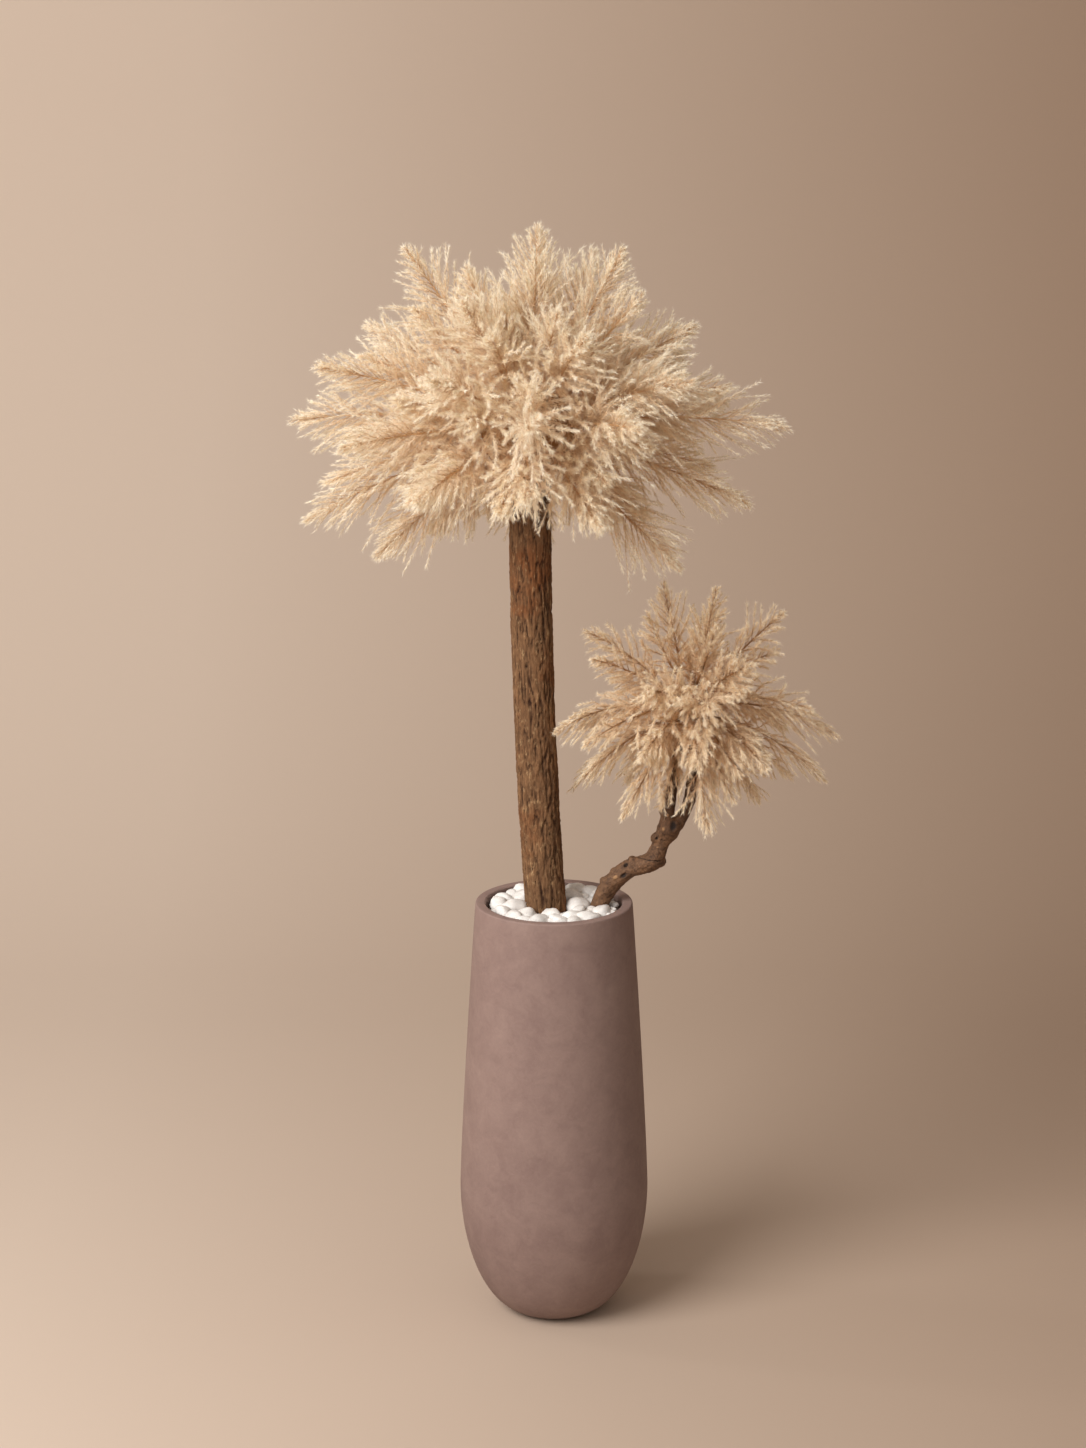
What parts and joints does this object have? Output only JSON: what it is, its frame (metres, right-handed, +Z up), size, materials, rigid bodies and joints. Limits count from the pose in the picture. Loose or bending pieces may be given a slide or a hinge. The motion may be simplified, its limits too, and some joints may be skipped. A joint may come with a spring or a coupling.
{
  "type": "pampas grass tree",
  "caption": "Dried pampas grass plumes set in two round heads, one on a bark-covered trunk and one on a forked branch, standing in a tall tapered pot topped with white pebbles.",
  "frame": {"origin": "centre of the pot's flat foot, on the floor", "axes": "+Z up along the pot; -Y is the front; +X is the side that the branch is on"},
  "size_m": [0.8344, 0.6068, 1.715],
  "materials": {
    "pot_clay": "matt fibre clay, fine mottled grain",
    "soil": "rough",
    "stones": "smooth, matt",
    "bark": "rough, furrowed",
    "branch_wood": "matt, knotted",
    "foam": "rough",
    "straw": "silky, dry"
  },
  "bodies": {
    "root": {"pot": "pot_clay", "potting_fill": "soil", "pebbles": "stones", "trunk": "bark", "branch": "branch_wood", "crown_foam": "foam", "head_foam": "foam", "crown_plume_01": "straw", "crown_plume_02": "straw", "crown_plume_03": "straw", "crown_plume_04": "straw", "crown_plume_05": "straw", "crown_plume_06": "straw", "crown_plume_07": "straw", "crown_plume_08": "straw", "crown_plume_09": "straw", "crown_plume_10": "straw", "crown_plume_11": "straw", "crown_plume_12": "straw", "crown_plume_13": "straw", "crown_plume_14": "straw", "crown_plume_15": "straw", "crown_plume_16": "straw", "crown_plume_17": "straw", "crown_plume_18": "straw", "crown_plume_19": "straw", "crown_plume_20": "straw", "crown_plume_21": "straw", "crown_plume_22": "straw", "crown_plume_23": "straw", "crown_plume_24": "straw", "crown_plume_25": "straw", "crown_plume_26": "straw", "crown_plume_27": "straw", "crown_plume_28": "straw", "crown_plume_29": "straw", "crown_plume_30": "straw", "crown_plume_31": "straw", "head_plume_01": "straw", "head_plume_02": "straw", "head_plume_03": "straw", "head_plume_04": "straw", "head_plume_05": "straw", "head_plume_06": "straw", "head_plume_07": "straw", "head_plume_08": "straw", "head_plume_09": "straw", "head_plume_10": "straw", "head_plume_11": "straw", "head_plume_12": "straw", "head_plume_13": "straw", "head_plume_14": "straw", "head_plume_15": "straw", "head_plume_16": "straw", "head_plume_17": "straw", "head_plume_18": "straw", "head_plume_19": "straw", "head_plume_20": "straw", "head_plume_21": "straw", "head_plume_22": "straw"}
  },
  "joints": []
}
